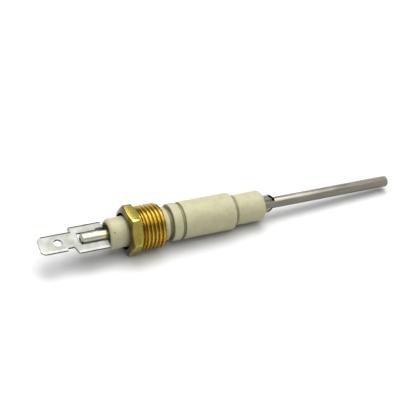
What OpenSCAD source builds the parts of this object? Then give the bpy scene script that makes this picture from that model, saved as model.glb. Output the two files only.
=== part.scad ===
// Flame sensor probe: a sensing rod in a ceramic insulator, clamped by a brass gland nut.
// The probe's axis is +X, towards the rod's tip. The origin is on that axis, in the plane
// where the nut's hexagon meets its thread. The nut's lowest flat faces down (-Z).

/* [Sensing rod] */
// Diameter of the sensing rod
rod_d = 3.5; // [3:0.1:3.6]
// Place of the rod's tip
rod_tip_x = 88; // [60:1:160]
// Place of the rod's rear end, inside the terminal's window
rod_rear_x = -17.9; // [-18.2:0.1:-16]
// Width across the two pinched stop ears
ear_span = 6.2; // [5:0.1:7]
// Length of the pinched stretch
ear_len = 4.3; // [3:0.1:5]
// Thickness of each ear
ear_t = 0.9; // [0.6:0.1:1.4]
// Width of the ridge left between the pinched faces
ridge_w = 1.5; // [1:0.1:2]
// Thickness of the rod across that ridge
ridge_t = 3.1; // [1.6:0.1:3.1]
// Roll of the ears' plane from horizontal
ear_roll = 72; // [0:1:180]

/* [Insulator] */
// Diameter of the rear sleeve that the nut turns on
sleeve_d = 9.5; // [9:0.1:9.6]
// Place of the insulator's rear face
sleeve_rear_x = -9.6; // [-12:0.1:-9.4]
// Rounding of the rear edge
sleeve_round = 1.4; // [0.5:0.1:1.6]
// Diameter of the shoulder that the washer bears on
shoulder_d = 10.4; // [10.2:0.1:11]
// Length of the shoulder
shoulder_len = 1.2; // [0.8:0.1:2]
// Diameter of the neck ahead of the shoulder
neck_d = 8.4; // [8:0.1:9.4]
// Length of the neck
neck_len = 1.2; // [0.8:0.1:2]
// Diameter of the collar and of the main body
body_d = 11.6; // [11:0.1:12]
// Length of the collar
collar_len = 2.8; // [2:0.1:4]
// Width of the shallow groove between collar and body
groove_len = 1.1; // [0.5:0.1:1.5]
// Depth of that groove
groove_depth = 0.6; // [0.2:0.05:0.8]
// Length of the main body
body_len = 17.2; // [12:0.1:30]
// Rounding of the body's front shoulder
body_round = 1.1; // [0.5:0.1:1.4]
// Diameter of the nose
nose_d = 9.5; // [8:0.1:10]
// Length of the nose
nose_len = 10.6; // [8:0.1:20]
// Rounding of the nose's front edge
nose_round = 1.2; // [0.5:0.1:2]

/* [Gland nut] */
// Width of the hexagon across its flats
hex_af = 14; // [13.9:0.1:16]
// Length of the hexagon
hex_len = 4.4; // [3.5:0.1:6]
// Major diameter of the thread
thread_d = 13.9; // [13.7:0.05:14]
// Pitch of the thread
thread_pitch = 1.25; // [1:0.25:1.5]
// Length of the threaded shank
shank_len = 7.8; // [6:0.1:10]
// Diameter of the nut's bore
nut_bore_d = 10; // [9.9:0.05:10.1]
// Diameter of the recess in the nut's rear face
nut_recess_d = 11.4; // [10.6:0.1:12]
// Depth of that recess
nut_recess_depth = 2; // [1:0.1:3]

/* [Sealing washer] */
// Outer diameter of the washer
washer_d = 10.6; // [10.3:0.1:11]
// Thickness of the washer
washer_t = 0.5; // [0.3:0.1:1]

/* [Terminal] */
// Thickness of the terminal's sheet
tab_t = 0.8; // [0.8:0.1:1]
// Width of the push-on tab
tab_w = 6.3; // [6.2:0.1:6.4]
// Place of the tab's tip
tab_tip_x = -31; // [-34:0.1:-29]
// Place where the tab widens into the fork
fork_rear_x = -20.5; // [-21:0.1:-20.2]
// Width across the fork
fork_w = 9.5; // [9:0.1:9.5]
// Width of the window between the fork's legs
window_w = 4.2; // [4:0.1:4.4]
// Place of the window's closed end
window_rear_x = -18.6; // [-19:0.1:-18.4]
// Diameter of the tab's detent hole
detent_d = 2.5; // [1.6:0.1:2.6]
// Place of the detent hole
detent_x = -25.1; // [-27:0.1:-24.5]
// Length of the saddle strap that the rod is welded to
saddle_len = 3.6; // [2.5:0.1:5]
// Roll of the terminal's sheet from horizontal
tab_roll = 15; // [0:1:90]

/* [Hidden] */
$fn = 96;

// Clearances and shared stations along the axis
rod_bore_d = rod_d + 0.3;
washer_gap = 0.05;
shoulder_x = shank_len + washer_t + 2 * washer_gap;
neck_x = shoulder_x + shoulder_len;
collar_x = neck_x + neck_len;
groove_x = collar_x + collar_len;
body_x = groove_x + groove_len;
nose_x = body_x + body_len;
nose_end_x = nose_x + nose_len;
ear_x = nose_end_x + 0.1;
leg_end_x = sleeve_rear_x - 0.1;

// Cement wells in the insulator's two ends
rear_well_d = 5.8;
rear_well_depth = 4;
rear_cement_depth = 1.5;
front_well_d = 5.2;
front_well_depth = 2.5;
front_cement_depth = 0.2;

// Thread profile, 60 degree flanks
thread_depth = 0.6134 * thread_pitch;
root_flat = thread_pitch / 6;
flank_x = thread_depth * tan(30);
first_crest = 0.35;
groove_w = 2 * flank_x + root_flat;
thread_count = 1 + floor((shank_len - first_crest - groove_w) / thread_pitch);
thread_chamfer = 0.7;

// Hexagon chamfers
hex_corner_r = hex_af / 2 / cos(30);
rim_w = 0.15;
rear_chamfer_angle = 22;
front_chamfer_angle = 30;

// A body of revolution about the X axis from a profile of radius (x) against station (y)
module turned() { rotate([0, 90, 0]) rotate([0, 0, 180]) rotate_extrude() children(); }

// A plain cylinder along the X axis from x0 to x1
module bar(x0, x1, d) { translate([x0, 0, 0]) rotate([0, 90, 0]) cylinder(d = d, h = x1 - x0); }

// Half section of a round step from x0 to x1, with rounded rear and front edges
module step_section(x0, x1, d, rear_round = 0, front_round = 0) {
    r = d / 2;
    translate([0, x0 + rear_round]) square([r, x1 - x0 - rear_round - front_round]);
    if (rear_round > 0) {
        translate([0, x0]) square([r - rear_round, rear_round + 0.01]);
        intersection() {
            translate([r - rear_round, x0 + rear_round]) circle(r = rear_round);
            translate([0, x0]) square([r, rear_round + 0.01]);
        }
    }
    if (front_round > 0) {
        translate([0, x1 - front_round - 0.01]) square([r - front_round, front_round + 0.01]);
        intersection() {
            translate([r - front_round, x1 - front_round]) circle(r = front_round);
            translate([0, x1 - front_round - 0.01]) square([r, front_round + 0.01]);
        }
    }
}

// Outline of the pinched stretch, in the plane of the ears
module ear_outline() {
    flat_len = 1.7;
    intersection() {
        translate([ear_x, -ear_span / 2]) square([ear_len, ear_span]);
        union() {
            translate([ear_x, -ear_span / 2]) square([flat_len, ear_span]);
            translate([ear_x + flat_len, 0]) circle(d = ear_span);
        }
    }
}

module sensing_rod() {
    end_chamfer = 0.45;
    joint_overlap = 0.05;
    color("silver") {
        turned() {
            step_section(rod_rear_x + end_chamfer, ear_x + joint_overlap, rod_d);
            polygon([[0, rod_rear_x], [rod_d / 2 - end_chamfer, rod_rear_x],
                     [rod_d / 2, rod_rear_x + end_chamfer], [0, rod_rear_x + end_chamfer]]);
        }
        rotate([ear_roll, 0, 0]) {
            translate([0, 0, -ear_t / 2]) linear_extrude(ear_t) ear_outline();
            translate([ear_x, -ridge_w / 2, -ridge_t / 2]) cube([ear_len, ridge_w, ridge_t]);
        }
        turned() step_section(ear_x + ear_len - joint_overlap, rod_tip_x, rod_d, 0, end_chamfer);
    }
}

module insulator() {
    edge_round = 0.3;
    color("wheat") difference() {
        turned() {
            step_section(sleeve_rear_x, shoulder_x, sleeve_d, sleeve_round);
            step_section(shoulder_x, neck_x, shoulder_d, 0, edge_round);
            step_section(neck_x, collar_x, neck_d);
            step_section(collar_x, groove_x, body_d, edge_round, edge_round);
            step_section(groove_x, body_x, body_d - 2 * groove_depth);
            step_section(body_x, nose_x, body_d, edge_round, body_round);
            step_section(nose_x, nose_end_x, nose_d, 0, nose_round);
        }
        bar(sleeve_rear_x - 1, nose_end_x + 1, rod_bore_d);
        bar(sleeve_rear_x - 1, sleeve_rear_x + rear_well_depth, rear_well_d);
        bar(nose_end_x - front_well_depth, nose_end_x + 1, front_well_d);
    }
}

// Half section of the threaded shank, with one V-shaped groove for each turn
module shank_section() {
    r = thread_d / 2;
    root_r = r - thread_depth;
    grooves = [for (k = [0 : thread_count - 1])
        let (x = first_crest + k * thread_pitch)
        each [[r, x], [root_r, x + flank_x], [root_r, x + flank_x + root_flat],
              [r, x + groove_w]]];
    difference() {
        polygon(concat([[0, 0], [r, 0]], grooves, [[r, shank_len], [0, shank_len]]));
        polygon([[r - thread_chamfer, shank_len + 0.01], [r + 0.5, shank_len + 0.01],
                 [r + 0.5, shank_len - thread_chamfer - 0.5]]);
    }
}

// Half section of the hexagon's chamfered envelope
module hex_envelope_section() {
    rear_r = nut_recess_d / 2 + rim_w;
    rear_x = (hex_corner_r - rear_r) * tan(rear_chamfer_angle);
    front_r = hex_af / 2 - rim_w;
    front_x = (hex_corner_r - front_r) * tan(front_chamfer_angle);
    polygon([[0, -hex_len], [rear_r, -hex_len], [hex_corner_r + 0.01, rear_x - hex_len],
             [hex_corner_r + 0.01, -front_x], [front_r, 0], [0, 0]]);
}

module gland_nut() {
    color("goldenrod") difference() {
        union() {
            intersection() {
                rotate([30, 0, 0]) translate([-hex_len, 0, 0]) rotate([0, 90, 0])
                    cylinder(r = hex_corner_r, h = hex_len, $fn = 6);
                turned() hex_envelope_section();
            }
            turned() shank_section();
        }
        bar(-hex_len - 1, shank_len + 1, nut_bore_d);
        bar(-hex_len - 1, nut_recess_depth - hex_len, nut_recess_d);
    }
}

module sealing_washer() {
    rear_x = shank_len + washer_gap;
    color("gainsboro") difference() {
        bar(rear_x, rear_x + washer_t, washer_d);
        bar(rear_x - 1, rear_x + washer_t + 1, sleeve_d + 0.2);
    }
}

// Outline of the stamped sheet: tab, notch and two-legged fork. The far leg (+Y) ends in a slant
module terminal_outline() {
    tip_chamfer_x = 1.2;
    tip_chamfer_y = 0.8;
    notch_depth = 0.75;
    notch_rear_x = fork_rear_x - 2.1;
    notch_front_x = fork_rear_x;
    slope_end_x = fork_rear_x + 0.8;
    far_slant = 0.3;
    leg_slant = 0.5;
    half_tab = tab_w / 2;
    half_fork = fork_w / 2;
    difference() {
        polygon([
            [tab_tip_x, half_tab - tip_chamfer_y], [tab_tip_x + tip_chamfer_x, half_tab],
            [fork_rear_x + far_slant, half_tab], [fork_rear_x - far_slant, half_fork],
            [leg_end_x - leg_slant, half_fork], [leg_end_x, window_w / 2],
            [leg_end_x, -half_fork], [slope_end_x, -half_fork],
            [notch_front_x, notch_depth - half_tab], [notch_rear_x, notch_depth - half_tab],
            [notch_rear_x, -half_tab], [tab_tip_x + tip_chamfer_x, -half_tab],
            [tab_tip_x, tip_chamfer_y - half_tab]
        ]);
        translate([window_rear_x, -window_w / 2])
            square([leg_end_x - window_rear_x + 1, window_w]);
    }
}

// Half-round strap that joins the two legs under the rod
module saddle() {
    intersection() {
        difference() {
            bar(leg_end_x - saddle_len, leg_end_x, rod_d + 2 * tab_t);
            bar(leg_end_x - saddle_len - 1, leg_end_x + 1, rod_d);
        }
        translate([leg_end_x - saddle_len - 1, -fork_w / 2, -fork_w / 2])
            cube([saddle_len + 2, fork_w, fork_w / 2]);
    }
}

module terminal_sheet() {
    translate([0, 0, -tab_t / 2]) linear_extrude(tab_t) terminal_outline();
    saddle();
}

module terminal_blade() {
    lead_in = 0.25;
    lead_in_len = 1.2;
    color("lightgrey") rotate([tab_roll, 0, 0]) difference() {
        terminal_sheet();
        translate([detent_x, 0, -tab_t]) cylinder(d = detent_d, h = 2 * tab_t);
        for (side = [0, 1]) mirror([0, 0, side])
            rotate([90, 0, 0]) translate([0, 0, -fork_w / 2]) linear_extrude(fork_w)
                polygon([[tab_tip_x - 1, tab_t / 2 - lead_in * (1 + 1 / lead_in_len)],
                         [tab_tip_x + lead_in_len, tab_t / 2],
                         [tab_tip_x + lead_in_len, tab_t], [tab_tip_x - 1, tab_t]]);
    }
}

// Resistance-weld fillet between the rod and the inner edge of the far leg
module weld_bead() {
    bead_d = 1.2;
    bead_len = 2.6;
    bead_gap = 0.2;
    color("dimgray") rotate([tab_roll, 0, 0]) difference() {
        translate([0, window_w / 2, tab_t / 2])
            bar(leg_end_x - bead_len, leg_end_x - bead_gap, bead_d);
        bar(leg_end_x - saddle_len - 1, leg_end_x + 1, rod_d);
        terminal_sheet();
    }
}

module rear_cement() {
    color("ivory") difference() {
        bar(sleeve_rear_x + rear_cement_depth, sleeve_rear_x + rear_well_depth, rear_well_d);
        bar(sleeve_rear_x, sleeve_rear_x + rear_well_depth + 1, rod_d);
    }
}

module front_cement() {
    color("ivory") difference() {
        bar(nose_end_x - front_well_depth, nose_end_x - front_cement_depth, front_well_d);
        bar(nose_end_x - front_well_depth - 1, nose_end_x + 1, rod_d);
    }
}

sensing_rod();
insulator();
gland_nut();
sealing_washer();
terminal_blade();
weld_bead();
rear_cement();
front_cement();
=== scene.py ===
import math

import bmesh
import bpy
from mathutils import Matrix, Vector, noise


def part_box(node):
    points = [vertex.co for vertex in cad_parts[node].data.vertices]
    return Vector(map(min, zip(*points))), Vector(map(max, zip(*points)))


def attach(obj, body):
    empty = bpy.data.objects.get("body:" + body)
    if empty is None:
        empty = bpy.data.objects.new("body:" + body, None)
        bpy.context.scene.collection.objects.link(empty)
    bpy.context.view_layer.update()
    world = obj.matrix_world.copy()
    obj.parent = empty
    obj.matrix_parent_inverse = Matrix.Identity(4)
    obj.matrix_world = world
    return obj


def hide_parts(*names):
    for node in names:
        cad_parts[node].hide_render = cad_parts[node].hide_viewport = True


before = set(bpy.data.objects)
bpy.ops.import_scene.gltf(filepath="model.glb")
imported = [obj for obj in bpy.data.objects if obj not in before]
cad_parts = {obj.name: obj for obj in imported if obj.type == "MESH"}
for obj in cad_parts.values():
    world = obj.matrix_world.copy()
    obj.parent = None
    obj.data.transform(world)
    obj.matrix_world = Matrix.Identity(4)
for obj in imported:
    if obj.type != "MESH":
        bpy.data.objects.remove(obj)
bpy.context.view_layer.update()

# Lengths are in millimetres until a mesh is made. The probe's axis is +X, towards the rod's tip,
# and the origin is in the plane where the nut's hexagon meets its thread.
MM = 0.001
TURN = 2 * math.pi


def span(node):
    """Lowest and highest corner of a CAD node, in millimetres."""
    low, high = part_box(node)
    return low / MM, high / MM


nut_low, nut_high = span("gland_nut")
washer_low, washer_high = span("sealing_washer")
insulator_low, insulator_high = span("insulator")
rod_low, rod_high = span("sensing_rod")
tab_low = span("terminal_blade")[0]
weld_low = span("weld_bead")[0]
rear_cement_low, rear_cement_high = span("rear_cement")
front_cement_low, front_cement_high = span("front_cement")

ROD_R = 1.75

# The insulator, from its rear end to its nose. The pit is a dark speck on the rear sleeve.
BORE_R = ROD_R + 0.15
SLEEVE_REAR = insulator_low.x
SLEEVE_PIT = (SLEEVE_REAR + 1.2, -3.47, 3.24)
NECK_X = 9.6
COLLAR_X = NECK_X + 1.2
GROOVE_X = COLLAR_X + 2.8
BODY_X = GROOVE_X + 1.1
BODY_R = insulator_high.z
GROOVE_R = BODY_R - 0.6
NOSE_END = insulator_high.x
NOSE_X = NOSE_END - 10.6
NOSE_R = 4.75

# The gland nut. Its flat rear face lies between the recess and REAR_RIM, where the chamfer starts,
# and LIP is a small bevel on its edges.
NUT_REAR = nut_low.x + 0.3
RECESS_R = 5.7
RECESS_DEPTH = 2
REAR_RIM = 5.85
REAR_SLOPE = math.tan(math.radians(22))
LIP = 0.04
PITCH = 1.25
MAJOR_R = 6.95
THREAD_DEPTH = 0.6134 * PITCH
THREAD_ROOT_R = MAJOR_R - THREAD_DEPTH

# The rod's pinched stretch: two thin ears with a ridge between them
EAR_X = NOSE_END + 0.1
EAR_END = EAR_X + 4.3
EAR_FLAT = 1.7
EAR_R = 3.1
EAR_HALF_T = 0.45
EAR_ROLL = math.radians(72)
RIDGE_HALF_W = 0.95
RIDGE_BLEND_W = 0.18

# The terminal's roll about the axis, and the middle and reach of the weld's heat tint
TAB_ROLL = math.radians(15)
WELD_HEAT = Matrix.Rotation(TAB_ROLL, 3, "X") @ Vector((SLEEVE_REAR - 1.1, 1.75, 1.0))
TINT_REACH = 3.4


# ---------------------------------------------------------------- mesh helpers
def link(name, work):
    """Makes an object of a bmesh in millimetres, with doubled points merged."""
    merge_within = 0.002
    shortest_edge = 0.0001
    bmesh.ops.remove_doubles(work, verts=work.verts, dist=merge_within)
    bmesh.ops.dissolve_degenerate(work, edges=work.edges, dist=shortest_edge)
    bmesh.ops.recalc_face_normals(work, faces=work.faces)
    mesh = bpy.data.meshes.new(name)
    work.to_mesh(mesh)
    work.free()
    mesh.transform(Matrix.Scale(MM, 4))
    piece = bpy.data.objects.new(name, mesh)
    bpy.context.scene.collection.objects.link(piece)
    return piece


def skin(work, rings, loop=False):
    """Joins rings of points with quads. A loop joins the last ring to the first."""
    made = [[work.verts.new(point) for point in ring] for ring in rings]
    pairs = list(zip(made, made[1:]))
    if loop:
        pairs.append((made[-1], made[0]))
    size = len(rings[0])
    for low, high in pairs:
        for j in range(size):
            k = (j + 1) % size
            work.faces.new((low[j], low[k], high[k], high[j]))
    return made


def closed_skin(name, rings):
    """A solid from rings, with a flat face on the first and the last ring."""
    work = bmesh.new()
    made = skin(work, rings)
    work.faces.new(made[0][::-1])
    work.faces.new(made[-1])
    return link(name, work)


def fillet(corners, steps):
    """A closed outline of 2-D points in which each corner (x, y, radius) is an arc."""
    outline = []
    for i, (x, y, radius) in enumerate(corners):
        here = Vector((x, y))
        if radius <= 0:
            outline.append(here)
            continue
        back = (Vector(corners[i - 1][:2]) - here).normalized()
        ahead = (Vector(corners[(i + 1) % len(corners)][:2]) - here).normalized()
        half = back.angle(ahead) / 2
        centre = here + (back + ahead).normalized() * (radius / math.sin(half))
        start = here + back * (radius / math.tan(half)) - centre
        stop = here + ahead * (radius / math.tan(half)) - centre
        for k in range(steps + 1):
            outline.append(centre + start.slerp(stop, k / steps) * radius)
    return outline


def lathe(name, outline, segments=192, shape=None):
    """Turns a closed outline of (station, radius) round the X axis. shape may move each point."""
    rings = []
    for x, r in outline:
        ring = [Vector((x, r * math.cos(TURN * j / segments), r * math.sin(TURN * j / segments)))
                for j in range(segments)]
        rings.append([shape(point) for point in ring] if shape else ring)
    work = bmesh.new()
    skin(work, rings, loop=True)
    return link(name, work)


def shade(piece, angle):
    """Smooth shading that keeps edges sharper than the angle, in degrees, crisp."""
    mesh = piece.data
    mesh.polygons.foreach_set("use_smooth", [True] * len(mesh.polygons))
    mesh.set_sharp_from_angle(angle=math.radians(angle))


def cut_or_join(piece, other, operation):
    """Cuts a piece with another, or joins them, and removes the other."""
    step = piece.modifiers.new("boolean", "BOOLEAN")
    step.operation = operation
    step.solver = "EXACT"
    step.object = other
    evaluated = piece.evaluated_get(bpy.context.evaluated_depsgraph_get())
    mesh = bpy.data.meshes.new_from_object(evaluated)
    piece.modifiers.clear()
    piece.data = mesh
    bpy.data.objects.remove(other)


# ---------------------------------------------------------------- node helpers
# A Mix node has sockets for every kind of data. These are the factor's and the colours'.
MIX_FACTOR = 0
MIX_FIRST = 6
MIX_SECOND = 7
MIX_RESULT = 2


class Finish:
    """A Principled material and short calls for the nodes that feed it."""

    def __init__(self, name):
        self.material = bpy.data.materials.new(name)
        self.material.use_nodes = True
        tree = self.material.node_tree
        self.nodes = tree.nodes
        self.links = tree.links
        self.shader = tree.nodes["Principled BSDF"]
        self.place = self.add("ShaderNodeTexCoord").outputs["Object"]

    def add(self, kind, **inputs):
        """Adds a node and feeds its inputs by name, with an underscore for each space."""
        node = self.nodes.new(kind)
        for key, value in inputs.items():
            self.feed(value, node.inputs[key.replace("_", " ")])
        return node

    def feed(self, source, socket):
        """Links an output to a socket, or sets the socket to a number or a colour."""
        if isinstance(source, bpy.types.NodeSocket):
            self.links.new(source, socket)
        elif isinstance(source, tuple) and len(socket.default_value) == 4:
            socket.default_value = (*source, 1)
        else:
            socket.default_value = source

    def shader_inputs(self, **inputs):
        """Feeds the Principled shader's inputs by name, as add does."""
        for key, value in inputs.items():
            self.feed(value, self.shader.inputs[key.replace("_", " ")])

    def stretched(self, x, y, z):
        """Object coordinates scaled along each axis, so that a noise runs in streaks."""
        return self.add("ShaderNodeMapping", Vector=self.place, Scale=(x, y, z)).outputs["Vector"]

    def noise(self, scale, detail, roughness, distortion=0.0, where=None):
        """A noise in object coordinates, or in the coordinates that where gives."""
        node = self.add("ShaderNodeTexNoise", Vector=where or self.place, Scale=scale, Detail=detail,
                        Roughness=roughness, Distortion=distortion)
        return node.outputs["Fac"]

    def ramp(self, value, *stops):
        """A colour ramp. Each stop is a position and a colour."""
        node = self.add("ShaderNodeValToRGB", Fac=value)
        band = node.color_ramp
        while len(band.elements) < len(stops):
            band.elements.new(0.5)
        for element, (position, colour) in zip(band.elements, stops):
            element.position = position
            element.color = (*colour, 1)
        return node.outputs["Color"]

    def levels(self, value, low, high, to_low=0.0, to_high=1.0):
        """Maps low..high to to_low..to_high, and holds the value past either end."""
        node = self.add("ShaderNodeMapRange", Value=value, From_Min=low, From_Max=high,
                        To_Min=to_low, To_Max=to_high)
        return node.outputs["Result"]

    def mix(self, factor, first, second):
        """The first colour where the factor is 0, the second where it is 1."""
        node = self.nodes.new("ShaderNodeMix")
        node.data_type = "RGBA"
        self.feed(factor, node.inputs[MIX_FACTOR])
        self.feed(first, node.inputs[MIX_FIRST])
        self.feed(second, node.inputs[MIX_SECOND])
        return node.outputs[MIX_RESULT]

    def math(self, operation, first, second):
        node = self.nodes.new("ShaderNodeMath")
        node.operation = operation
        self.feed(first, node.inputs[0])
        self.feed(second, node.inputs[1])
        return node.outputs[0]

    def both(self, first, second):
        """One mask within another: their product."""
        return self.math("MULTIPLY", first, second)

    def station(self):
        """Place along the probe's axis, in millimetres."""
        along = self.add("ShaderNodeSeparateXYZ", Vector=self.place).outputs["X"]
        return self.math("DIVIDE", along, MM)

    def radius(self):
        """Distance from the probe's axis, in millimetres."""
        across = self.nodes.new("ShaderNodeVectorMath")
        across.operation = "MULTIPLY"
        self.feed(self.place, across.inputs[0])
        across.inputs[1].default_value = (0, 1 / MM, 1 / MM)
        length = self.nodes.new("ShaderNodeVectorMath")
        length.operation = "LENGTH"
        self.feed(across.outputs["Vector"], length.inputs[0])
        return length.outputs["Value"]

    def towards(self, direction):
        """Distance along a direction from the probe's axis, in millimetres."""
        dot = self.nodes.new("ShaderNodeVectorMath")
        dot.operation = "DOT_PRODUCT"
        self.feed(self.place, dot.inputs[0])
        dot.inputs[1].default_value = [value / MM for value in direction]
        return dot.outputs["Value"]

    def away_from(self, point):
        """Distance from a point given in millimetres, in millimetres."""
        apart = self.nodes.new("ShaderNodeVectorMath")
        apart.operation = "DISTANCE"
        self.feed(self.place, apart.inputs[0])
        apart.inputs[1].default_value = [value * MM for value in point]
        return self.math("DIVIDE", apart.outputs["Value"], MM)

    def band(self, value, start, stop, soft):
        """1 between start and stop, 0 outside, with soft ends."""
        rise = self.levels(value, start - soft, start + soft)
        fall = self.levels(value, stop - soft, stop + soft, 1.0, 0.0)
        return self.both(rise, fall)

    def bump(self, height, depth_mm, strength):
        """Tilts the shader's normals as if the surface were raised by the height."""
        node = self.add("ShaderNodeBump", Height=height, Distance=depth_mm * MM, Strength=strength)
        self.shader_inputs(Normal=node.outputs["Normal"])

    def on(self, piece, slot):
        """Puts the material on a piece. The slot is not used."""
        piece.data.materials.clear()
        piece.data.materials.append(self.material)


# ---------------------------------------------------------------- finishes
SPECK_BROWN = (0.22, 0.19, 0.11)
PIT_BROWN = (0.07, 0.05, 0.03)
HAZE_TAN = (0.361, 0.327, 0.189)
GROOVE_SHADE_BROWN = (0.145, 0.125, 0.055)
MOUTH_SHADOW_BLACK = (0.03, 0.025, 0.018)

STAINED_BRASS = (0.258, 0.215, 0.06)
THREAD_ROOT = (0.301, 0.194, 0.034)
THREAD_CREST = (0.602, 0.426, 0.073)
REAR_FACE_SHADE_BRASS = (0.07, 0.05, 0.018)
RECESS_SHADE_BROWN = (0.05, 0.035, 0.015)

DRAWN_GREY = (0.241, 0.224, 0.185)
UNDERSIDE_SHADE_GREY = (0.12, 0.113, 0.098)
POLISHED_STEEL = (0.516, 0.494, 0.391)
END_SHADE_GREY = (0.025, 0.022, 0.02)
EAR_SHADE_GREY = (0.292, 0.288, 0.249)
EAR_RIM_SHADE_BLACK = (0.012, 0.011, 0.010)


def ceramic_finish():
    """Cream unglazed steatite with fine grain and a few dark specks, with painted shade in its grooves
    and beside the nut, and a painted shadow round the bore's rear mouth.
    """
    f = Finish("cream_ceramic")
    mottle = f.noise(420, 5, 0.65)
    creams = ((0.3, (0.3, 0.284, 0.171)), (0.52, (0.339, 0.323, 0.2)), (0.75, (0.375, 0.36, 0.232)))
    colour = f.ramp(mottle, *creams)
    specks = f.levels(f.noise(1400, 2, 0.5), 0.70, 0.76, 0.0, 0.6)
    colour = f.mix(specks, colour, SPECK_BROWN)
    pit = f.levels(f.away_from(SLEEVE_PIT), 0.35, 0.15, 0.0, 0.85)
    colour = f.mix(pit, colour, PIT_BROWN)
    haze = f.levels(f.noise(160, 4, 0.6, 0.5), 0.52, 0.75, 0.0, 0.2)
    colour = f.mix(haze, colour, HAZE_TAN)
    # Painted shade in the neck, the groove, the crease at the nose and on the sleeve beside the nut.
    colour = f.mix(ceramic_painted_shade(f), colour, GROOVE_SHADE_BROWN)
    # Painted shadow: a near-black ring on the rear face round the bore, where the rod and the tab come
    # in.
    mouth = f.levels(f.station(), SLEEVE_REAR + 0.4, SLEEVE_REAR + 0.22, 0.0, 0.95)
    mouth = f.both(mouth, f.levels(f.radius(), 3.8, 3.6))
    colour = f.mix(mouth, colour, MOUTH_SHADOW_BLACK)
    f.shader_inputs(Base_Color=colour, Roughness=f.levels(mottle, 0.3, 0.7, 0.42, 0.6))
    f.shader_inputs(Specular_IOR_Level=0.4)
    grain = f.noise(3000, 4, 0.7)
    f.bump(f.math("ADD", grain, mottle), 0.05, 0.5)
    return f


def ceramic_painted_shade(f):
    """Painted shade: the neck, the groove, the step to the nose, and beside the nut."""
    along = f.station()
    radius = f.radius()
    neck = f.both(f.band(along, NECK_X, COLLAR_X + 0.15, 0.12), f.levels(radius, 5.75, 5.2))
    groove = f.both(f.band(along, GROOVE_X, BODY_X, 0.05), f.levels(radius, BODY_R, BODY_R - 0.3))
    crease = f.band(along, NOSE_X - 0.25, NOSE_X + 1.1, 0.25)
    crease = f.both(crease, f.levels(radius, NOSE_R + 0.8, NOSE_R + 0.2))
    by_nut = f.levels(along, SLEEVE_REAR + 3.2, NUT_REAR, 0.0, 0.7)
    by_nut = f.both(by_nut, f.levels(along, NUT_REAR + 2, NUT_REAR + 1.2))
    shade_mask = f.math("ADD", f.math("ADD", neck, groove), f.math("ADD", crease, by_nut))
    return f.both(shade_mask, f.levels(f.noise(700, 4, 0.6), 0.3, 0.6, 0.75, 0.95))


def brass_finish():
    """Turned and milled brass, dulled in patches, with painted shade in the thread's roots, on the rear
    face and chamfer, and in the rear recess.
    """
    f = Finish("machined_brass")
    tarnish = f.noise(260, 5, 0.6, 0.4)
    golds = ((0.32, (0.341, 0.275, 0.051)), (0.5, (0.48, 0.399, 0.089)), (0.68, (0.588, 0.488, 0.124)))
    colour = f.ramp(tarnish, *golds)
    stain = f.levels(f.noise(1100, 4, 0.6), 0.56, 0.7, 0.0, 0.7)
    colour = f.mix(stain, colour, STAINED_BRASS)
    along = f.station()
    radius = f.radius()
    # The thread's roots get painted shade: darker than its crests.
    on_thread = f.levels(along, -0.1, 0.1)
    crest = f.levels(radius, 6.3, 6.9)
    root_shaded_thread = f.mix(crest, THREAD_ROOT, THREAD_CREST)
    colour = f.mix(on_thread, colour, root_shaded_thread)
    # Painted shade on the nut's rear face and chamfer, which face away from the light.
    chamfer = f.math("MULTIPLY", f.math("SUBTRACT", radius, REAR_RIM), REAR_SLOPE)
    past_chamfer = f.math("SUBTRACT", f.math("SUBTRACT", along, NUT_REAR), chamfer)
    rear_face = f.both(f.levels(past_chamfer, 0.14, 0.05), f.levels(tarnish, 0.35, 0.6, 0.95, 0.75))
    colour = f.mix(rear_face, colour, REAR_FACE_SHADE_BRASS)
    # Painted shade in the rear recess, round the sleeve.
    recess = f.levels(along, NUT_REAR + RECESS_DEPTH + 0.3, NUT_REAR + RECESS_DEPTH + 0.1)
    recess = f.both(f.levels(radius, REAR_RIM - 0.06, REAR_RIM - 0.12), recess)
    colour = f.mix(recess, colour, RECESS_SHADE_BROWN)
    f.shader_inputs(Base_Color=colour, Metallic=1.0, Roughness=f.levels(tarnish, 0.3, 0.7, 0.34, 0.18))
    tool_marks = f.noise(60, 3, 0.6, 0.0, f.stretched(70, 1, 1))
    f.bump(f.math("ADD", tool_marks, f.noise(1200, 3, 0.6)), 0.03, 0.4)
    return f


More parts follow.
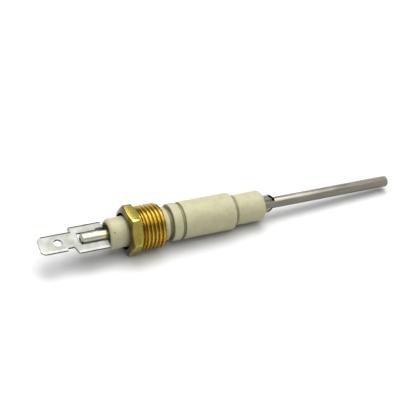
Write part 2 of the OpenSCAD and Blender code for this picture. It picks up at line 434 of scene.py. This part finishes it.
def rod_finish():
    """Drawn heat-resisting alloy: polished rear end and heat tint round the weld, with painted shade on
    the underside, on the rear end's lower half and on the pinched ears.
    """
    f = Finish("drawn_alloy")
    drawn = f.noise(2400, 4, 0.7, 0.0, f.stretched(0.03, 1, 1))
    patch = f.noise(300, 4, 0.6, 0.0, f.stretched(0.5, 1, 1))
    greys = ((0.32, (0.31, 0.286, 0.232)), (0.55, (0.379, 0.353, 0.291)), (0.75, (0.441, 0.41, 0.341)))
    dull = f.ramp(patch, *greys)
    dull = f.mix(f.math("MULTIPLY", drawn, 0.35), dull, DRAWN_GREY)
    along = f.station()
    height = f.towards((0, 0, 1))
    # Painted shade: darker towards the underside.
    dull = f.mix(f.levels(height, 1.15, 0.5, 0.0, 0.72), dull, UNDERSIDE_SHADE_GREY)
    polished = f.levels(along, SLEEVE_REAR + 1, SLEEVE_REAR)
    colour = f.mix(polished, dull, POLISHED_STEEL)
    # Painted shade on the lower half of the rod's rear end and its chamfer.
    end_face = f.levels(along, rod_low.x + 0.5, rod_low.x + 0.3)
    colour = f.mix(f.both(end_face, f.levels(height, 0.7, -0.1)), colour, END_SHADE_GREY)
    from_weld = f.math("ADD", f.away_from(WELD_HEAT), f.levels(patch, 0.2, 0.8, -0.35, 0.35))
    tinted = f.both(polished, f.levels(from_weld, TINT_REACH, TINT_REACH - 0.4))
    colour = f.mix(tinted, colour, heat_tint(f, from_weld))
    # Painted shade on the pinched ears.
    colour = paint_ear_shade(f, colour)
    f.shader_inputs(Base_Color=colour, Metallic=1.0)
    f.shader_inputs(Roughness=f.levels(patch, 0.3, 0.7, 0.26, 0.38))
    f.bump(drawn, 0.02, 0.45)
    return f


def heat_tint(f, from_weld):
    """Oxide colours outwards from the weld: black, blue, pale blue, brown, straw, bare steel."""
    return f.ramp(f.levels(from_weld, 0.4, TINT_REACH),
                  (0.0, (0.03, 0.03, 0.05)), (0.18, (0.05, 0.14, 0.32)), (0.32, (0.30, 0.45, 0.60)),
                  (0.46, (0.70, 0.32, 0.07)), (0.68, (0.86, 0.66, 0.36)), (1.0, POLISHED_STEEL))


def paint_ear_shade(f, colour):
    """Paints shade on both ears beside the ridge, and black painted shade on their rounded front ends.
    """
    along = f.station()
    from_ear_plane = f.math("ABSOLUTE", f.towards((0, -math.sin(EAR_ROLL), math.cos(EAR_ROLL))), 0.0)
    beside_ridge = f.levels(from_ear_plane, 0.9, 0.6)
    ears = f.both(f.band(along, EAR_X - 0.3, EAR_END - 0.1, 0.1), beside_ridge)
    colour = f.mix(f.math("MULTIPLY", ears, 0.8), colour, EAR_SHADE_GREY)
    flat_end = EAR_X + EAR_FLAT
    ear_rim = f.levels(f.away_from((flat_end, 0, 0)), EAR_R - 0.8, EAR_R - 0.5)
    ear_rim = f.both(ear_rim, f.levels(along, flat_end + 0.4, flat_end + 0.9))
    ear_rim = f.both(ear_rim, f.levels(along, EAR_END + 0.1, EAR_END))
    return f.mix(f.both(ear_rim, beside_ridge), colour, EAR_RIM_SHADE_BLACK)


def tab_finish(name, brightness, rougher):
    """Nickel-plated stamped steel at a given brightness. The brighter copy on the coined bands is partly
    burnish and partly painted highlight, and the dark copy on the sheared sides is partly dull shearing
    and partly painted shade.
    """
    f = Finish(name)
    cloud = f.noise(380, 5, 0.6)
    tones = ((0.3, (0.156, 0.157, 0.138)), (0.55, (0.187, 0.189, 0.168)), (0.75, (0.22, 0.222, 0.196)))
    tones = [(place, tuple(value * brightness for value in tone)) for place, tone in tones]
    f.shader_inputs(Base_Color=f.ramp(cloud, *tones), Metallic=0.55)
    f.shader_inputs(Roughness=f.levels(cloud, 0.3, 0.7, 0.46 + rougher, 0.36 + rougher))
    f.bump(f.noise(2400, 3, 0.6), 0.03, 0.45)
    return f


def washer_finish():
    """Soft aluminium, pressed and slightly scuffed."""
    f = Finish("soft_aluminium")
    cloud = f.noise(700, 4, 0.6)
    colour = f.ramp(cloud, (0.3, (0.533, 0.533, 0.499)), (0.7, (0.688, 0.688, 0.654)))
    f.shader_inputs(Base_Color=colour, Metallic=1.0)
    f.shader_inputs(Roughness=f.levels(cloud, 0.3, 0.7, 0.6, 0.45))
    f.bump(cloud, 0.03, 0.4)
    return f


def cement_finish():
    """Dull, grainy refractory cement."""
    f = Finish("refractory_cement")
    lumps = f.noise(1100, 6, 0.7)
    f.shader_inputs(Base_Color=f.ramp(lumps, (0.3, (0.258, 0.232, 0.172)), (0.7, (0.447, 0.413, 0.327))))
    f.shader_inputs(Roughness=f.levels(lumps, 0.3, 0.7, 0.92, 0.78))
    f.bump(lumps, 0.1, 0.8)
    return f


def weld_finish():
    """Weld metal with dark blue and brown oxide."""
    f = Finish("oxidised_weld")
    swirl = f.noise(1300, 3, 0.6, 1.2)
    oxides = ((0.3, (0.02, 0.02, 0.022)), (0.6, (0.04, 0.045, 0.055)), (0.8, (0.16, 0.11, 0.06)))
    colour = f.ramp(swirl, *oxides)
    f.shader_inputs(Base_Color=colour, Metallic=1.0, Roughness=f.levels(swirl, 0.3, 0.7, 0.5, 0.3))
    f.bump(swirl, 0.05, 0.6)
    return f


# ---------------------------------------------------------------- insulator
def make_insulator():
    """Sleeve, shoulder, neck, collar, groove, body and nose, with a well for cement at each end."""
    sleeve_r = 4.75
    shoulder_r = 5.2
    neck_r = 4.2
    shoulder_x = 8.4
    groove_wall = 0.1
    rear_well_r = 2.9
    rear_well_x = SLEEVE_REAR + 4
    front_well_r = 2.6
    front_well_x = NOSE_END - 2.5
    corners = [
        (SLEEVE_REAR, rear_well_r, 0.2), (SLEEVE_REAR, sleeve_r, 1.4),
        (shoulder_x, sleeve_r, 0.1), (shoulder_x, shoulder_r, 0.12),
        (NECK_X, shoulder_r, 0.3), (NECK_X, neck_r, 0.3),
        (COLLAR_X, neck_r, 0.3), (COLLAR_X, BODY_R, 0.35),
        (GROOVE_X, BODY_R, 0.25), (GROOVE_X + groove_wall, GROOVE_R, 0.12),
        (BODY_X - groove_wall, GROOVE_R, 0.12), (BODY_X, BODY_R, 0.25),
        (NOSE_X, BODY_R, 0.85), (NOSE_X, NOSE_R, 0.1),
        (NOSE_END, NOSE_R, 1.2), (NOSE_END, front_well_r, 0.2),
        (front_well_x, front_well_r, 0.1), (front_well_x, BORE_R, 0.1),
        (rear_well_x, BORE_R, 0.1), (rear_well_x, rear_well_r, 0.1),
    ]
    piece = lathe("ceramic_insulator", fillet(corners, 8))
    shade(piece, 45)
    ceramic_finish().on(piece, "ceramic")
    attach(piece, "electrode")
    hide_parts("insulator")


# ---------------------------------------------------------------- gland nut
def hex_section(apothem, corner_round):
    """Points round a hexagon with rounded corners and one corner on +Y."""
    radius = apothem / math.cos(math.pi / 6)
    corners = [(radius * math.cos(TURN * k / 6), radius * math.sin(TURN * k / 6), corner_round)
               for k in range(6)]
    steps_on_flat = 24
    outline = fillet(corners, 6)
    section = []
    for k, point in enumerate(outline):
        following = outline[(k + 1) % len(outline)]
        is_flat = (following - point).length > apothem / 2
        steps = steps_on_flat if is_flat else 1
        section += [point.lerp(following, i / steps) for i in range(steps)]
    return sorted(section, key=lambda point: math.atan2(point.y, point.x) % TURN)


class NutSection:
    """The hexagon's outline as angles and reaches, from which every ring of the nut is made."""

    def __init__(self, apothem, corner_round):
        section = hex_section(apothem, corner_round)
        self.angles = [math.atan2(point.y, point.x) % TURN for point in section]
        self.reach = [point.length for point in section]

    def ring(self, stations, radii):
        return [Vector((x, r * math.cos(a), r * math.sin(a)))
                for x, r, a in zip(stations, radii, self.angles)]

    def circle(self, x, r):
        return self.ring([x] * len(self.angles), [r] * len(self.angles))


def nut_outside(section, front_rim):
    """Rings from the recess's mouth, over the chamfered hexagon, to the thread's foot."""
    front_slope = math.tan(math.radians(30))
    soft = 0.08
    circle, ring, reach = section.circle, section.ring, section.reach
    rear_edge = [NUT_REAR + (r - REAR_RIM) * REAR_SLOPE for r in reach]
    front_edge = [-(r - front_rim) * front_slope for r in reach]
    return [
        circle(NUT_REAR + LIP, RECESS_R), circle(NUT_REAR, RECESS_R + LIP),
        circle(NUT_REAR, REAR_RIM - LIP), circle(NUT_REAR + LIP / 2, REAR_RIM + LIP),
        ring([x - soft * REAR_SLOPE for x in rear_edge], [r - soft for r in reach]),
        ring([x + soft / 6 for x in rear_edge], [r - soft / 4 for r in reach]),
        ring([x + soft for x in rear_edge], reach),
        ring([x - soft for x in front_edge], reach),
        ring([x - soft / 6 for x in front_edge], [r - soft / 4 for r in reach]),
        ring([x + soft * front_slope for x in front_edge], [r - soft for r in reach]),
        circle(-LIP / 2, front_rim + LIP), circle(0, front_rim - LIP),
        circle(0, THREAD_ROOT_R + 2 * LIP), circle(LIP, THREAD_ROOT_R),
    ]


def nut_inside(section, shank_end, end_root):
    """Rings from the thread's end, back through the bore, to the recess's mouth."""
    bore_r = 5.0
    recess_floor = NUT_REAR + RECESS_DEPTH
    circle = section.circle
    return [
        circle(shank_end, end_root), circle(shank_end, bore_r + LIP), circle(shank_end - LIP, bore_r),
        circle(recess_floor + LIP, bore_r), circle(recess_floor, bore_r + LIP),
        circle(recess_floor, RECESS_R), circle(NUT_REAR + LIP, RECESS_R),
    ]


def thread_radius(x, turns_on, shank_end, end_root):
    """The thread's radius at a station, for a point that is turns_on turns along the helix."""
    crest_half = PITCH / 16
    root_half = PITCH / 10
    flank = PITCH / 2 - crest_half - root_half
    run_in = 0.3
    run_in_slope = 1.8
    end_slope = 1.05
    from_crest = abs(turns_on - round(turns_on)) * PITCH
    drop = min(max((from_crest - crest_half) / flank, 0), 1) * THREAD_DEPTH
    growing = THREAD_ROOT_R + max(x - run_in, 0) * run_in_slope
    chamfer = end_root + (shank_end - x) * end_slope
    return min(MAJOR_R - drop, growing, chamfer)


def thread_rows(angles, shank_end, end_root):
    """Rows that follow the helix. A row that runs past either end is gathered on that end's circle,
    and an extra column one whole turn on closes the seam once doubled points are merged."""
    rows_per_pitch = 24
    row_count = int((shank_end / PITCH + 2) * rows_per_pitch)
    rows = []
    for i in range(row_count):
        turns_on = i / rows_per_pitch
        row = []
        for a in angles + [angles[0] + TURN]:
            x = min(max((turns_on - 1 + a / TURN) * PITCH, LIP), shank_end)
            r = thread_radius(x, turns_on, shank_end, end_root)
            row.append(Vector((x, r * math.cos(a), r * math.sin(a))))
        rows.append(row)
    return rows


def make_nut():
    """A hexagon with a chamfered rim and a rear recess, and a shank with a true helical thread."""
    shank_end = nut_high.x
    apothem = nut_high.z
    front_rim = apothem - 0.5
    corner_round = 0.9
    end_root = THREAD_ROOT_R - 0.05
    section = NutSection(apothem, corner_round)
    work = bmesh.new()
    skin(work, nut_outside(section, front_rim))
    skin(work, nut_inside(section, shank_end, end_root))
    rows = thread_rows(section.angles, shank_end, end_root)
    made = [[work.verts.new(point) for point in row] for row in rows]
    for low, high in zip(made, made[1:]):
        for j in range(len(low) - 1):
            work.faces.new((low[j], low[j + 1], high[j + 1], high[j]))
    piece = link("brass_gland_nut", work)
    shade(piece, 28)
    brass_finish().on(piece, "brass")
    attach(piece, "nut")
    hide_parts("gland_nut")


def make_washer():
    """A flat ring with rounded edges."""
    rim = 0.12
    inner_r = 4.85
    corners = [(washer_low.x, inner_r, rim), (washer_low.x, washer_high.z, rim),
               (washer_high.x, washer_high.z, rim), (washer_high.x, inner_r, rim)]
    piece = lathe("sealing_ring", fillet(corners, 4))
    shade(piece, 40)
    washer_finish().on(piece, "washer_metal")
    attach(piece, "washer")
    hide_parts("sealing_washer")


# ---------------------------------------------------------------- sensing rod
def round_ring(x, r):
    """A circle of points round the axis, at a station."""
    segments = 120
    return [Vector((x, r * math.cos(TURN * j / segments), r * math.sin(TURN * j / segments)))
            for j in range(segments)]


def pinched_half_t(across, half_width):
    """Half the thickness of the pinched stretch at a distance from its middle."""
    crown = math.sqrt(max(ROD_R ** 2 - across ** 2, 0))
    rise = 1 - min(max((across - RIDGE_HALF_W) / RIDGE_BLEND_W, 0), 1)
    thickness = EAR_HALF_T + (crown - EAR_HALF_T) * rise * rise * (3 - 2 * rise)
    past_edge = across - (half_width - EAR_HALF_T)
    if past_edge <= 0:
        return thickness
    return thickness * math.sqrt(max(1 - (past_edge / EAR_HALF_T) ** 2, 0))


def ear_ring(x, half_width):
    """One section. Its points keep to the ridge's foot and crown, so that they join up cleanly."""
    ear_steps = 14
    blend_steps = 4
    crown_steps = 12
    foot = RIDGE_HALF_W + RIDGE_BLEND_W
    quarter = [half_width - (half_width - foot) * (k / ear_steps) ** 2 for k in range(ear_steps + 1)]
    quarter += [foot - RIDGE_BLEND_W * k / blend_steps for k in range(1, blend_steps + 1)]
    quarter += [RIDGE_HALF_W * math.cos(TURN / 4 * k / crown_steps) for k in range(1, crown_steps)]
    half = quarter + [0] + [-across for across in reversed(quarter)]
    upper = [(across, pinched_half_t(abs(across), half_width)) for across in half]
    lower = [(across, -height) for across, height in reversed(upper[1:-1])]
    return [Vector((x, across, height)) for across, height in upper + lower]


def ear_half_width(x):
    """Half the width across both ears: rounded at the rear, straight, then rounded off in front."""
    corner = 0.35
    least = RIDGE_HALF_W + RIDGE_BLEND_W + 0.1
    into = x - EAR_X
    if into < corner:
        return EAR_R - corner + math.sqrt(corner ** 2 - (corner - into) ** 2)
    if into < EAR_FLAT:
        return EAR_R
    curve = math.sqrt(max(EAR_R ** 2 - (into - EAR_FLAT) ** 2, 0))
    return max(curve, least)


def make_rod():
    """A drawn rod whose pinched stretch has a ridge between two thin ears."""
    chamfer = 0.45
    dimple_r = 0.4
    dimple_depth = 0.25
    step = 0.05
    ear_sections = 28
    rear = rod_low.x
    tip = rod_high.x
    rings = [
        round_ring(rear + dimple_depth, 0.05), round_ring(rear, dimple_r),
        round_ring(rear, ROD_R - chamfer), round_ring(rear + chamfer, ROD_R),
        round_ring(rear + chamfer + 2 * step, ROD_R), round_ring(EAR_X - step, ROD_R),
    ]
    stations = [EAR_X + (EAR_END - EAR_X) * k / ear_sections for k in range(ear_sections + 1)]
    rings += [ear_ring(x, ear_half_width(x)) for x in stations]
    rings += [
        round_ring(EAR_END + step, ROD_R), round_ring(EAR_END + 10 * step, ROD_R),
        round_ring(tip - 1.3 * chamfer, ROD_R), round_ring(tip - 0.4 * chamfer, ROD_R - 0.16),
        round_ring(tip, ROD_R - chamfer), round_ring(tip, 0.3),
    ]
    roll = Matrix.Rotation(EAR_ROLL, 3, "X")
    piece = closed_skin("sensing_rod_alloy", [[roll @ point for point in ring] for ring in rings])
    shade(piece, 35)
    rod_finish().on(piece, "rod_steel")
    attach(piece, "electrode")
    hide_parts("sensing_rod")


# ---------------------------------------------------------------- terminal
def inset(corners, widths):
    """Moves each side of a clockwise outline inwards by its own width. Side i starts at corner i."""
    moved = []
    count = len(corners)
    for i in range(count):
        before, here, after = (Vector(corners[k % count][:2]) for k in (i - 1, i, i + 1))
        back = (here - before).normalized()
        ahead = (after - here).normalized()
        inward = Matrix(((back.y, -back.x), (ahead.y, -ahead.x)))
        spot = here + inward.inverted() @ Vector((widths[i - 1], widths[i]))
        convex = back.cross(ahead) < 0
        radius = 0.03 if convex else corners[i][2]
        moved.append((spot.x, spot.y, radius))
    return moved


def terminal_sides(leg_end):
    """Corners (x, y, rounding), each followed by the coined width of the side that starts there."""
    half_tab = 3.15
    half_fork = 4.75
    half_window = 2.1
    fork_rear = -20.5
    window_rear = -18.6
    notch_y = -half_tab + 0.75
    notch_rear = fork_rear - 2.1
    slope_end = fork_rear + 0.8
    tip = tab_low.x
    tip_x = tip + 1.2
    tip_y = half_tab - 0.8
    wide = 0.75
    middling = 0.45
    narrow = 0.15
    return [
        (tip, tip_y, 0.5, middling), (tip_x, half_tab, 0.5, middling),
        (fork_rear + 0.3, half_tab, 0.25, narrow), (fork_rear - 0.3, half_fork, 0.4, middling),
        (leg_end - 0.5, half_fork, 0.4, narrow), (leg_end, half_window, 0.3, narrow),
        (window_rear, half_window, 0.25, narrow), (window_rear, -half_window, 0.25, narrow),
        (leg_end, -half_window, 0.3, narrow), (leg_end, -half_fork, 0.3, wide),
        (slope_end, -half_fork, 0.45, narrow), (fork_rear, notch_y, 0.25, narrow),
        (notch_rear, notch_y, 0.15, narrow), (notch_rear, -half_tab, 0.25, wide),
        (tip_x, -half_tab, 0.5, wide), (tip, -tip_y, 0.5, wide),
    ]


def hole_cutter(half_t):
    """The detent hole with its flared rims, as a solid to cut with."""
    hole_x = -25.1
    hole_r = 1.25
    flare = 0.08
    past = 0.2
    near_axis = 0.01
    mouth = hole_r + flare + past
    profile = [(-half_t - past, near_axis), (-half_t - past, mouth), (-half_t + flare, hole_r),
               (half_t - flare, hole_r), (half_t + past, mouth), (half_t + past, near_axis)]
    cutter = lathe("hole_cutter", [Vector(point) for point in profile], 64)
    upright = Matrix.Rotation(math.pi / 2, 4, "Y")
    cutter.data.transform(Matrix.Translation((hole_x * MM, 0, 0)) @ upright)
    return cutter


def make_terminal():
    """The stamped tab and fork, with coined edges, a tapered tip, a detent hole and a saddle strap."""
    half_t = 0.4
    coin_height = 0.08
    side_z = half_t - coin_height
    leg_end = SLEEVE_REAR - 0.1
    sides = terminal_sides(leg_end)
    corners = [side[:3] for side in sides]
    outline = fillet(corners, 5)
    face_outline = fillet(inset(corners, [side[3] for side in sides]), 5)
    layers = ((face_outline, -half_t), (outline, -side_z), (outline, side_z), (face_outline, half_t))
    rings = [[Vector((x, y, z)) for x, y in points] for points, z in layers]
    sheet = closed_skin("terminal_tab", rings)
    taper_tip(sheet, tab_low.x, half_t)
    cut_or_join(sheet, hole_cutter(half_t), "DIFFERENCE")
    cut_or_join(sheet, make_strap(leg_end), "UNION")

    shade(sheet, 25)
    tab_finish("stamped_nickel", 1.0, 0.0).on(sheet, "tab_steel")
    # Coined bands: a brighter copy, partly burnish and partly painted highlight. Sheared sides: a dark
    # copy, partly dull shearing and partly painted shade.
    sheet.data.materials.append(tab_finish("coined_burnish_and_highlight_nickel", 1.45, -0.05).material)
    sheet.data.materials.append(tab_finish("sheared_dull_and_shade_nickel", 0.16, 0.1).material)
    mark_edges(sheet, half_t)
    sheet.data.transform(Matrix.Rotation(TAB_ROLL, 4, "X"))
    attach(sheet, "electrode")
    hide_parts("terminal_blade")


def taper_tip(sheet, tip, half_t):
    """Thins the last stretch of the tab towards its tip."""
    lead_in = 0.04
    lead_in_len = 1.3
    work = bmesh.new()
    work.from_mesh(sheet.data)
    everything = work.verts[:] + work.edges[:] + work.faces[:]
    lead_in_start = ((tip + lead_in_len) * MM, 0, 0)
    bmesh.ops.bisect_plane(work, geom=everything, plane_co=lead_in_start, plane_no=(1, 0, 0))
    for vertex in work.verts:
        near_tip = max(1 - (vertex.co.x / MM - tip) / lead_in_len, 0)
        vertex.co.z *= 1 - near_tip * lead_in / half_t
    work.to_mesh(sheet.data)
    work.free()


def mark_edges(sheet, half_t):
    """Gives the coined bands a brighter finish, partly burnish and partly painted highlight, and the
    sheared sides a dark finish, partly dull shearing and partly painted shade.
    Edges turned to the rear stay plain, and bands on the far (+Y) side get the same dark painted shade
    as the sides."""
    plain, coined, sheared = range(3)
    flat = 0.995
    upright = 0.3
    far_side = 0.1
    rear_end = -0.1
    work = bmesh.new()
    work.from_mesh(sheet.data)
    for face in work.faces:
        tilt = abs(face.normal.z)
        on_strap = face.calc_center_median().z < -(half_t + 0.02) * MM
        if on_strap or tilt > flat or face.normal.x < rear_end:
            face.material_index = plain
        elif tilt > upright and face.normal.y < far_side:
            face.material_index = coined
        else:
            face.material_index = sheared
    for edge in work.edges:
        if len({face.material_index for face in edge.link_faces}) > 1:
            edge.smooth = False
    work.to_mesh(sheet.data)
    work.free()


def make_strap(leg_end):
    """The half-round strap that joins the fork's legs under the rod."""
    rear = leg_end - 3.6
    front = leg_end - 0.05
    inner_r = ROD_R
    outer_r = ROD_R + 0.8
    steps = 40
    edge = 0.12
    section = fillet([(rear, inner_r, edge), (rear, outer_r, edge),
                      (front, outer_r, edge), (front, inner_r, edge)], 4)
    rings = []
    for k in range(steps + 1):
        angle = math.pi + math.pi * k / steps
        rings.append([Vector((x, r * math.cos(angle), r * math.sin(angle))) for x, r in section])
    return closed_skin("saddle_strap", rings)


def make_weld():
    """A lumpy fillet where the rod meets the inner edge of the far leg."""
    steps = 30
    segments = 28
    bead_r = 0.5
    wide = 1.25
    flat = 0.8
    ripples = 4.5
    centre = Vector((2.15, 0.3))
    rear = weld_low.x - 0.3
    front = SLEEVE_REAR - 0.05
    rings = []
    for k in range(steps + 1):
        along = k / steps
        x = rear + (front - rear) * along
        swell = math.sqrt(max(1 - (2 * along - 1) ** 2, 0.004)) ** 0.7
        ripple = 1 + 0.08 * math.sin(TURN * ripples * along)
        ring = []
        for j in range(segments):
            y = math.cos(TURN * j / segments)
            z = math.sin(TURN * j / segments)
            lump = 1 + 0.25 * noise.noise(Vector((x * 1.4, 2 * y, 2 * z)))
            r = bead_r * swell * ripple * lump
            ring.append(Vector((x, centre.x + wide * r * y, centre.y + flat * r * z)))
        rings.append(ring)
    piece = closed_skin("weld_fillet", rings)
    piece.data.transform(Matrix.Rotation(TAB_ROLL, 4, "X"))
    shade(piece, 50)
    weld_finish().on(piece, "weld")
    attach(piece, "electrode")
    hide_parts("weld_bead")


# ---------------------------------------------------------------- cement plugs
def make_cement(name, node, low, high, open_end):
    """A ring of cement with a rough meniscus on its open end."""
    inner_r = ROD_R
    outer_r = high.z
    rows = 8
    creep = 0.12
    lump_scale = 2.2
    at_rear = open_end == "rear"
    open_x, buried_x = (low.x, high.x) if at_rear else (high.x, low.x)
    buried = [(buried_x, inner_r), (buried_x, outer_r)]
    meniscus = [(open_x, outer_r + (inner_r - outer_r) * k / rows) for k in range(rows + 1)]
    inward = 1 if at_rear else -1

    def rough(point):
        if abs(point.x - open_x) > 1e-6:
            return point
        r = math.hypot(point.y, point.z)
        sag = math.sin(math.pi * (r - inner_r) / (outer_r - inner_r))
        bumpy = 0.5 + 0.5 * noise.noise(Vector((point.y * lump_scale, point.z * lump_scale, 5.0)))
        return point + Vector((inward * creep * (sag + bumpy), 0, 0))

    piece = lathe(name, [Vector(point) for point in meniscus + buried], 96, rough)
    shade(piece, 50)
    cement_finish().on(piece, "cement")
    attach(piece, "electrode")
    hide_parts(node)


# ---------------------------------------------------------------- stage, light and camera
def make_floor():
    """A plane that the thread's crest and the insulator's body rest on."""
    crest = Vector((7.1, -MAJOR_R))
    body = Vector((30.8, -insulator_high.z))
    slope = (body.y - crest.y) / (body.x - crest.x)
    clearance = 0.02
    half = 1600
    work = bmesh.new()
    heights = {x: crest.y + slope * (x - crest.x) - clearance for x in (-half, half)}
    work.faces.new([work.verts.new(Vector((x, y, heights[x])))
                    for x, y in ((-half, -half), (half, -half), (half, half), (-half, half))])
    floor = link("studio_floor", work)
    f = Finish("white_paper")
    tone = f.ramp(f.noise(12, 2, 0.5), (0.2, (0.54, 0.54, 0.54)), (0.8, (0.56, 0.56, 0.56)))
    f.shader_inputs(Base_Color=tone, Roughness=0.85, Specular_IOR_Level=0.1)
    floor.data.materials.append(f.material)


def make_sun():
    """A very soft overhead light from a little behind the probe."""
    sun = bpy.data.lights.new("overhead_sun", "SUN")
    sun.energy = 2.1
    sun.angle = math.radians(40)
    holder = bpy.data.objects.new("overhead_sun", sun)
    holder.rotation_euler = Vector((-0.05, -0.4, -1.0)).to_track_quat("-Z", "Y").to_euler()
    bpy.context.scene.collection.objects.link(holder)


def make_sky():
    """A dim grey room with a wide bright panel overhead and a pale band along the horizon."""
    world = bpy.data.worlds.new("studio")
    world.use_nodes = True
    bpy.context.scene.world = world
    tree = world.node_tree
    where = tree.nodes.new("ShaderNodeTexCoord")
    height = tree.nodes.new("ShaderNodeVectorMath")
    height.operation = "DOT_PRODUCT"
    height.inputs[1].default_value = Vector((0.0, -0.06, 1.0)).normalized()
    ramp = tree.nodes.new("ShaderNodeValToRGB")
    tree.links.new(where.outputs["Generated"], height.inputs[0])
    tree.links.new(height.outputs["Value"], ramp.inputs["Fac"])
    tree.links.new(ramp.outputs["Color"], tree.nodes["Background"].inputs["Color"])
    tree.nodes["Background"].inputs["Strength"].default_value = 3.65
    # Each stop is a height, from 0 at the horizon to 1 overhead, and the brightness there
    levels = [(0.0, 0.28), (0.1, 0.28), (0.2, 0.19), (0.35, 0.15),
              (0.77, 0.12), (0.89, 0.95), (1.0, 1.0)]
    band = ramp.color_ramp
    while len(band.elements) < len(levels):
        band.elements.new(0.5)
    for element, (position, level) in zip(band.elements, levels):
        element.position = position
        element.color = (level, level, level, 1)


def make_camera():
    """Looks down at the probe from the terminal's side, with a small roll, as in the photograph."""
    place = Vector((-174.34, -342.18, 320.97)) * MM
    target = Vector((20.46, -4.30, 8.09)) * MM
    roll = math.radians(9.12)
    lens = bpy.data.cameras.new("photo_camera")
    lens.lens = 144.36
    lens.sensor_width = 36
    camera = bpy.data.objects.new("photo_camera", lens)
    level = (target - place).to_track_quat("-Z", "Y").to_matrix().to_4x4()
    camera.matrix_world = Matrix.Translation(place) @ level @ Matrix.Rotation(roll, 4, "Z")
    bpy.context.scene.collection.objects.link(camera)
    bpy.context.scene.camera = camera


make_insulator()
make_nut()
make_washer()
make_rod()
make_terminal()
make_weld()
make_cement("rear_cement_plug", "rear_cement", rear_cement_low, rear_cement_high, "rear")
make_cement("front_cement_plug", "front_cement", front_cement_low, front_cement_high, "front")
make_floor()
make_sun()
make_sky()
make_camera()
bpy.context.scene.view_settings.view_transform = "Standard"
